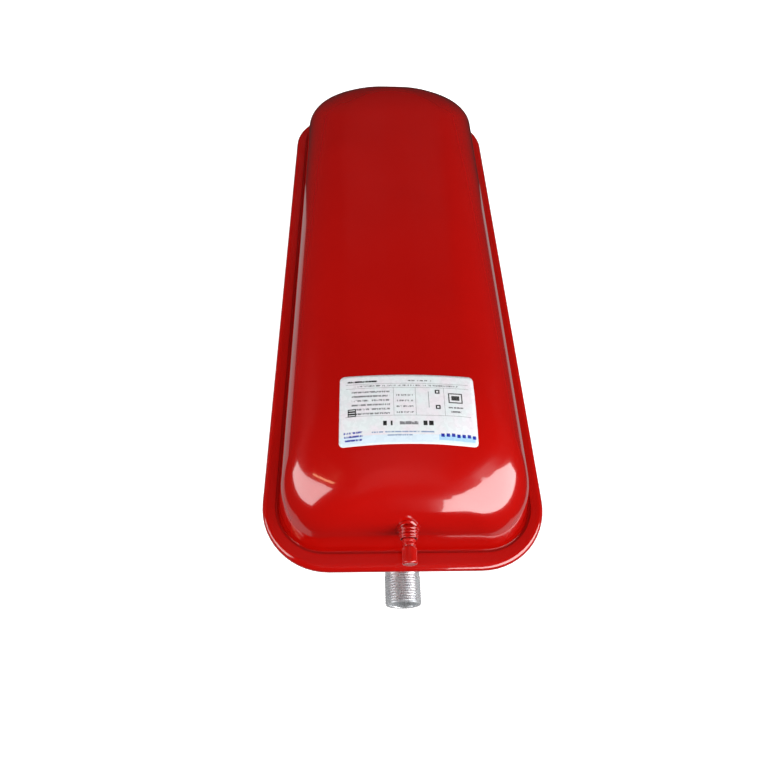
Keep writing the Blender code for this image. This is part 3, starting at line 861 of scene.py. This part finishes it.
work = bmesh.new()
cap_radius = cap_high.x - 0.0002
cap_edge = 0.0011
cap_end_y = cap_low.y
cap_inside_y = disc_low.y - JOINT_GAP
cap_profile = [
    (0.0, cap_end_y),
    (cap_radius - cap_edge - 0.0016, cap_end_y),
    (cap_radius - cap_edge - 0.0012, cap_end_y + 0.00012),
    (cap_radius - cap_edge - 0.0008, cap_end_y),
]
for step in range(9):
    angle = math.pi / 2 * step / 8
    cap_profile.append((
        cap_radius - cap_edge + cap_edge * math.sin(angle),
        cap_end_y + cap_edge - cap_edge * math.cos(angle),
    ))
cap_profile += [
    (cap_radius, cap_high.y - 0.0004),
    (cap_radius - 0.0001, cap_high.y - 0.0001),
    (cap_radius - 0.0004, cap_high.y),
    (stem_radius + JOINT_GAP, cap_high.y),
    (stem_radius + JOINT_GAP, cap_inside_y),
    (0.0, cap_inside_y),
]
turned(work, cap_profile, valve_z, VALVE_SEGMENTS, closed=False)
piece_from(work, "screw_cap", "cap", "valve_cap", cap_plastic())

# ------------------------------------------------------------------------------------------------------------
# Rating label: printed film stuck across the near end of the front face. It carries plain blocks, rules and
# dashes in place of print: a strip of blocks, a capacity line, a table with two dials, and a corner block.

LABEL_CORNER = 0.003
LABEL_CUTS = 30
LABEL_FILM = 0.00018
LABEL_GLUE = 0.00005
LABEL_DROP = 0.05

label_low, label_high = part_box("rating_label")
label_middle = (label_low + label_high) / 2
label_width = label_high.x - label_low.x
label_length = label_high.y - label_low.y


def label_print():
    """Silvery white film with its print: each mark is a box in the label's own plane, set in order."""
    made, tree, shader, place = material_with("label film", (0.80, 0.80, 0.82), 0.28)
    centre = tree.nodes.new("ShaderNodeMapping")
    centre.inputs["Location"].default_value = (-label_middle.x, -label_middle.y, 0)
    tree.links.new(place, centre.inputs["Vector"])
    axes = tree.nodes.new("ShaderNodeSeparateXYZ")
    tree.links.new(centre.outputs["Vector"], axes.inputs["Vector"])
    colour = ramp(tree, noise(tree, place, 110, 2), (0.35, (0.70, 0.66, 0.70)), (0.65, (0.66, 0.71, 0.72)))

    def math_node(operation, first, second, third=None):
        node = tree.nodes.new("ShaderNodeMath")
        node.operation = operation
        for socket, value in zip(node.inputs, (first, second, third)):
            if isinstance(value, (int, float)):
                socket.default_value = value
            elif value is not None:
                tree.links.new(value, socket)
        return node.outputs["Value"]

    def box(x, y, width, length):
        """1 inside a box whose centre and size are in millimetres from the label's middle."""
        in_x = math_node("COMPARE", axes.outputs["X"], x / 1000, width / 2000)
        in_y = math_node("COMPARE", axes.outputs["Y"], y / 1000, length / 2000)
        return math_node("MULTIPLY", in_x, in_y)

    def ink(mask, tint):
        nonlocal colour
        mix = tree.nodes.new("ShaderNodeMix")
        mix.data_type = "RGBA"
        mix.inputs["B"].default_value = (*tint, 1)
        tree.links.new(mask, mix.inputs["Factor"])
        tree.links.new(colour, mix.inputs["A"])
        colour = mix.outputs["Result"]

    stretched = tree.nodes.new("ShaderNodeMapping")
    stretched.inputs["Scale"].default_value = (1400, 260, 1)
    tree.links.new(place, stretched.inputs["Vector"])
    letters = noise(tree, stretched.outputs["Vector"], 1, 1)

    def dashes(x, y, width, length, tint, cover=0.5):
        """A line of print too small to read: a box broken up along X."""
        broken = math_node("GREATER_THAN", letters, 1 - cover)
        ink(math_node("MULTIPLY", box(x, y, width, length), broken), tint)

    black, near_black, grey = (0.02, 0.02, 0.02), (0.05, 0.05, 0.05), (0.18, 0.18, 0.19)
    blue, slate_blue, pale_blue = (0.02, 0.03, 0.30), (0.22, 0.30, 0.45), (0.35, 0.55, 0.75)
    bare_film = (0.7, 0.7, 0.72)
    ink(box(0, -21.5, 88, 5.5), (0.60, 0.70, 0.78))
    ink(box(31, -20.4, 24, 3.6), pale_blue)
    for block in range(7):
        ink(box(21.5 + block * 3.5, -19.0 + 0.2 * (block % 3), 2.3, 2.2), blue)
    for line in range(3):
        dashes(-36, -16.4 - 2.4 * line, 12, 1.2, blue, 0.55)
    dashes(-4, -17.0, 40, 0.9, slate_blue, 0.6)
    dashes(-6, -19.2, 16, 0.9, slate_blue, 0.6)
    for x, width in ((-15.5, 2.4), (-11.2, 1.2), (14.4, 3.0), (10.6, 2.6)):
        ink(box(x, -11.0, width, 3.2), black)
    dashes(0, -11.0, 12, 2.2, grey, 0.62)
    for y in (-5.6, 15.0, 18.2):
        ink(box(0, y, 82, 0.22), grey)
    for x in (-9.5, 5.0, 24.0):
        ink(box(x, 4.7, 0.22, 20.6), grey)
    for row in range(6):
        dashes(-24.5, -4.0 + 3.2 * row, 25, 1.2, grey, 0.56)
    for row in range(4):
        dashes(-2.2, -3.4 + 4.2 * row, 11, 1.2, grey, 0.5)
    ink(box(-36.8, -3.0, 5.4, 5.4), black)
    for line in range(3):
        ink(box(-36.8, -4.7 + 1.7 * line, 4.2, 0.5), bare_film)
    ink(box(31.5, 7.5, 9.5, 7.5), near_black)
    ink(box(31.5, 7.5, 7.9, 5.9), (0.68, 0.68, 0.70))
    ink(box(31.5, 7.5, 5.4, 3.4), near_black)
    for y in (0.6, 12.0):
        ink(box(19.6, y, 3.2, 3.0), black)
        ink(box(19.6, y, 1.4, 1.3), bare_film)
    ink(box(13.6, 6.0, 0.4, 12.0), grey)
    dashes(0, 16.6, 70, 1.1, grey, 0.5)
    dashes(-30, 20.2, 20, 1.3, black, 0.6)
    dashes(8, 20.4, 16, 1.0, grey, 0.5)
    dashes(31.5, 0.4, 10, 1.1, grey, 0.6)
    dashes(31.5, -2.6, 7, 1.3, grey, 0.6)
    tree.links.new(colour, shader.inputs["Base Color"])
    mottled(tree, place, shader.inputs["Roughness"], 300, 2, (0.3, 0.22), (0.7, 0.34))
    bump(tree, shader, noise(tree, place, 60, 2), 0.00004)
    return made


work = bmesh.new()
corners = bmesh.ops.create_grid(work, x_segments=1, y_segments=1, size=0.5)["verts"]
bmesh.ops.scale(work, vec=(label_width, label_length, 1), verts=corners)
bmesh.ops.translate(work, vec=(label_middle.x, label_middle.y, label_high.z + LABEL_DROP), verts=corners)
bmesh.ops.bevel(
    work, geom=corners, offset=LABEL_CORNER, offset_type="OFFSET", segments=8, profile=0.5,
    affect="VERTICES", material=-1,
)
for axis, low, span in (((1, 0, 0), label_low.x, label_width), ((0, 1, 0), label_low.y, label_length)):
    for cut in range(1, LABEL_CUTS):
        at = Vector(axis) * (low + span * cut / LABEL_CUTS)
        bmesh.ops.bisect_plane(
            work, geom=work.verts[:] + work.edges[:] + work.faces[:], plane_co=at, plane_no=axis, dist=ON_CUT,
        )
label = piece_from(work, "printed_label", "vessel", "rating_label", label_print())
lay = label.modifiers.new("lay on the face", "SHRINKWRAP")
lay.target = front_shell
lay.wrap_method = "PROJECT"
lay.use_project_z = True
lay.use_negative_direction = True
lay.use_positive_direction = False
lay.offset = LABEL_FILM + LABEL_GLUE
film = label.modifiers.new("film", "SOLIDIFY")
film.thickness = LABEL_FILM
film.offset = -1.0
laid = bpy.data.meshes.new_from_object(label.evaluated_get(bpy.context.evaluated_depsgraph_get()))
label.modifiers.clear()
label.data = laid

# ------------------------------------------------------------------------------------------------------------
# Camera, floor and lights: the vessel lies on its back on a white sweep, seen from above its connection end.
# The fills stay out of the gloss, and the far panels are the soft boxes that the paint reflects.

CAMERA_FROM_RIM = Vector((-0.03091, -0.10513, 0.40030))
CAMERA_YAW = 0.07344
CAMERA_PITCH = 0.99915
CAMERA_ROLL = 0.06306
CAMERA_LENS = 27.19
PANEL_CENTRE = Vector((0, -0.21, 0.12))
PANEL_DISTANCE = 3.0

forward = Vector((
    math.sin(CAMERA_YAW) * math.cos(CAMERA_PITCH),
    math.cos(CAMERA_YAW) * math.cos(CAMERA_PITCH),
    -math.sin(CAMERA_PITCH),
))
level = Vector((math.cos(CAMERA_YAW), -math.sin(CAMERA_YAW), 0))
upright = level.cross(forward)
across = math.cos(CAMERA_ROLL) * level + math.sin(CAMERA_ROLL) * upright
up = math.cos(CAMERA_ROLL) * upright - math.sin(CAMERA_ROLL) * level
camera_data = bpy.data.cameras.new("camera")
camera_data.sensor_width = 36
camera_data.lens = CAMERA_LENS
camera_data.clip_start = 0.01
camera = bpy.data.objects.new("camera", camera_data)
bpy.context.scene.collection.objects.link(camera)
camera.matrix_world = Matrix.Translation(
    CAMERA_FROM_RIM + Vector((0, back_low.y, rim_z))
) @ Matrix((across, up, -forward)).transposed().to_4x4()
bpy.context.scene.camera = camera

work = bmesh.new()
bmesh.ops.create_grid(work, x_segments=1, y_segments=1, size=4)
floor_mesh = bpy.data.meshes.new("white_sweep")
work.to_mesh(floor_mesh)
work.free()
floor = bpy.data.objects.new("white_sweep", floor_mesh)
floor.location = (0, 0, back_low.z - 0.0005)
bpy.context.scene.collection.objects.link(floor)
sweep, _, sweep_shader, _ = material_with("white paper sweep", (0.9, 0.9, 0.9), 0.9)
sweep_shader.inputs["Emission Color"].default_value = (1, 1, 1, 1)
sweep_shader.inputs["Emission Strength"].default_value = 0.7
floor_mesh.materials.append(sweep)
floor.visible_glossy = False
floor.visible_diffuse = False

world = bpy.data.worlds.new("studio")
world.use_nodes = True
world.node_tree.nodes["Background"].inputs["Color"].default_value = (1, 1, 1, 1)
world.node_tree.nodes["Background"].inputs["Strength"].default_value = 0.02
bpy.context.scene.world = world
bpy.context.scene.view_settings.view_transform = "Standard"


def soft_light(name, centre, facing, width, height, power, glossy=False):
    """A rectangular lamp at a centre, its front towards the facing direction. It is left out of the gloss unless
    glossy is set.
    """
    lamp = bpy.data.lights.new(name, "AREA")
    lamp.shape = "RECTANGLE"
    lamp.size = width
    lamp.size_y = height
    lamp.energy = power
    stand = bpy.data.objects.new(name, lamp)
    stand.location = centre
    stand.rotation_mode = "QUATERNION"
    stand.rotation_quaternion = Vector(facing).to_track_quat("-Z", "Y")
    stand.visible_glossy = glossy
    stand.visible_camera = False
    bpy.context.scene.collection.objects.link(stand)


soft_light("overhead_fill", (0, -0.35, 1.2), (0, 0, -1), 1.0, 1.0, 4.2)
soft_light("front_fill", (0, -1.05, 1.05), (0, 0.7, -0.7), 0.8, 0.6, 5.5)
soft_light("back_fill", (0, 1.3, 0.9), (0, -0.8, -0.6), 1.2, 0.7, 4.5)
soft_light("left_fill", (-1.2, 0, 0.35), (1, 0, -0.2), 1.2, 0.5, 8)
soft_light("right_fill", (1.2, 0, 0.35), (-1, 0, -0.2), 1.2, 0.5, 6.5)
soft_light("white_sheet", (-0.015, -0.025, back_low.z + 0.0005), (0, 0, 1), 0.44, 0.55, 0.2, glossy=True)


def glowing_panel(name, outline, strength, colour=(1, 1, 1)):
    """A soft box far enough off to show its whole outline in the paint, given as (azimuth, elevation)."""
    work = bmesh.new()
    corners = []
    for azimuth, elevation in outline:
        turn, tilt = math.radians(azimuth), math.radians(elevation)
        away = Vector((math.sin(turn) * math.cos(tilt), -math.cos(turn) * math.cos(tilt), math.sin(tilt)))
        corners.append(work.verts.new(PANEL_CENTRE + PANEL_DISTANCE * away))
    work.faces.new(corners)
    bmesh.ops.triangulate(work, faces=work.faces[:])
    mesh = bpy.data.meshes.new(name)
    work.to_mesh(mesh)
    work.free()
    glow, _, shader, _ = material_with(name, (0, 0, 0), 1.0)
    shader.inputs["Emission Color"].default_value = (*colour, 1)
    shader.inputs["Emission Strength"].default_value = strength
    mesh.materials.append(glow)
    panel = bpy.data.objects.new(name, mesh)
    bpy.context.scene.collection.objects.link(panel)
    panel.visible_camera = False


glowing_panel(
    "left_panel", ((-48, 38), (-51, 8), (-67, 3), (-94, -2), (-97, 8), (-81, 22), (-61, 36)), 3.6
)
glowing_panel(
    "right_panel",
    ((9, -6), (10, 13), (17, 24), (40, 36), (63, 38), (79, 32), (92, 15), (90, 3), (59, 1), (17, -1)), 5.4,
)
glowing_panel(
    "warm_panel", ((-76, 31), (-65, 38), (-53, 42), (-53, 44), (-65, 40), (-76, 33)), 6.0, (1.0, 0.6, 0.33)
)
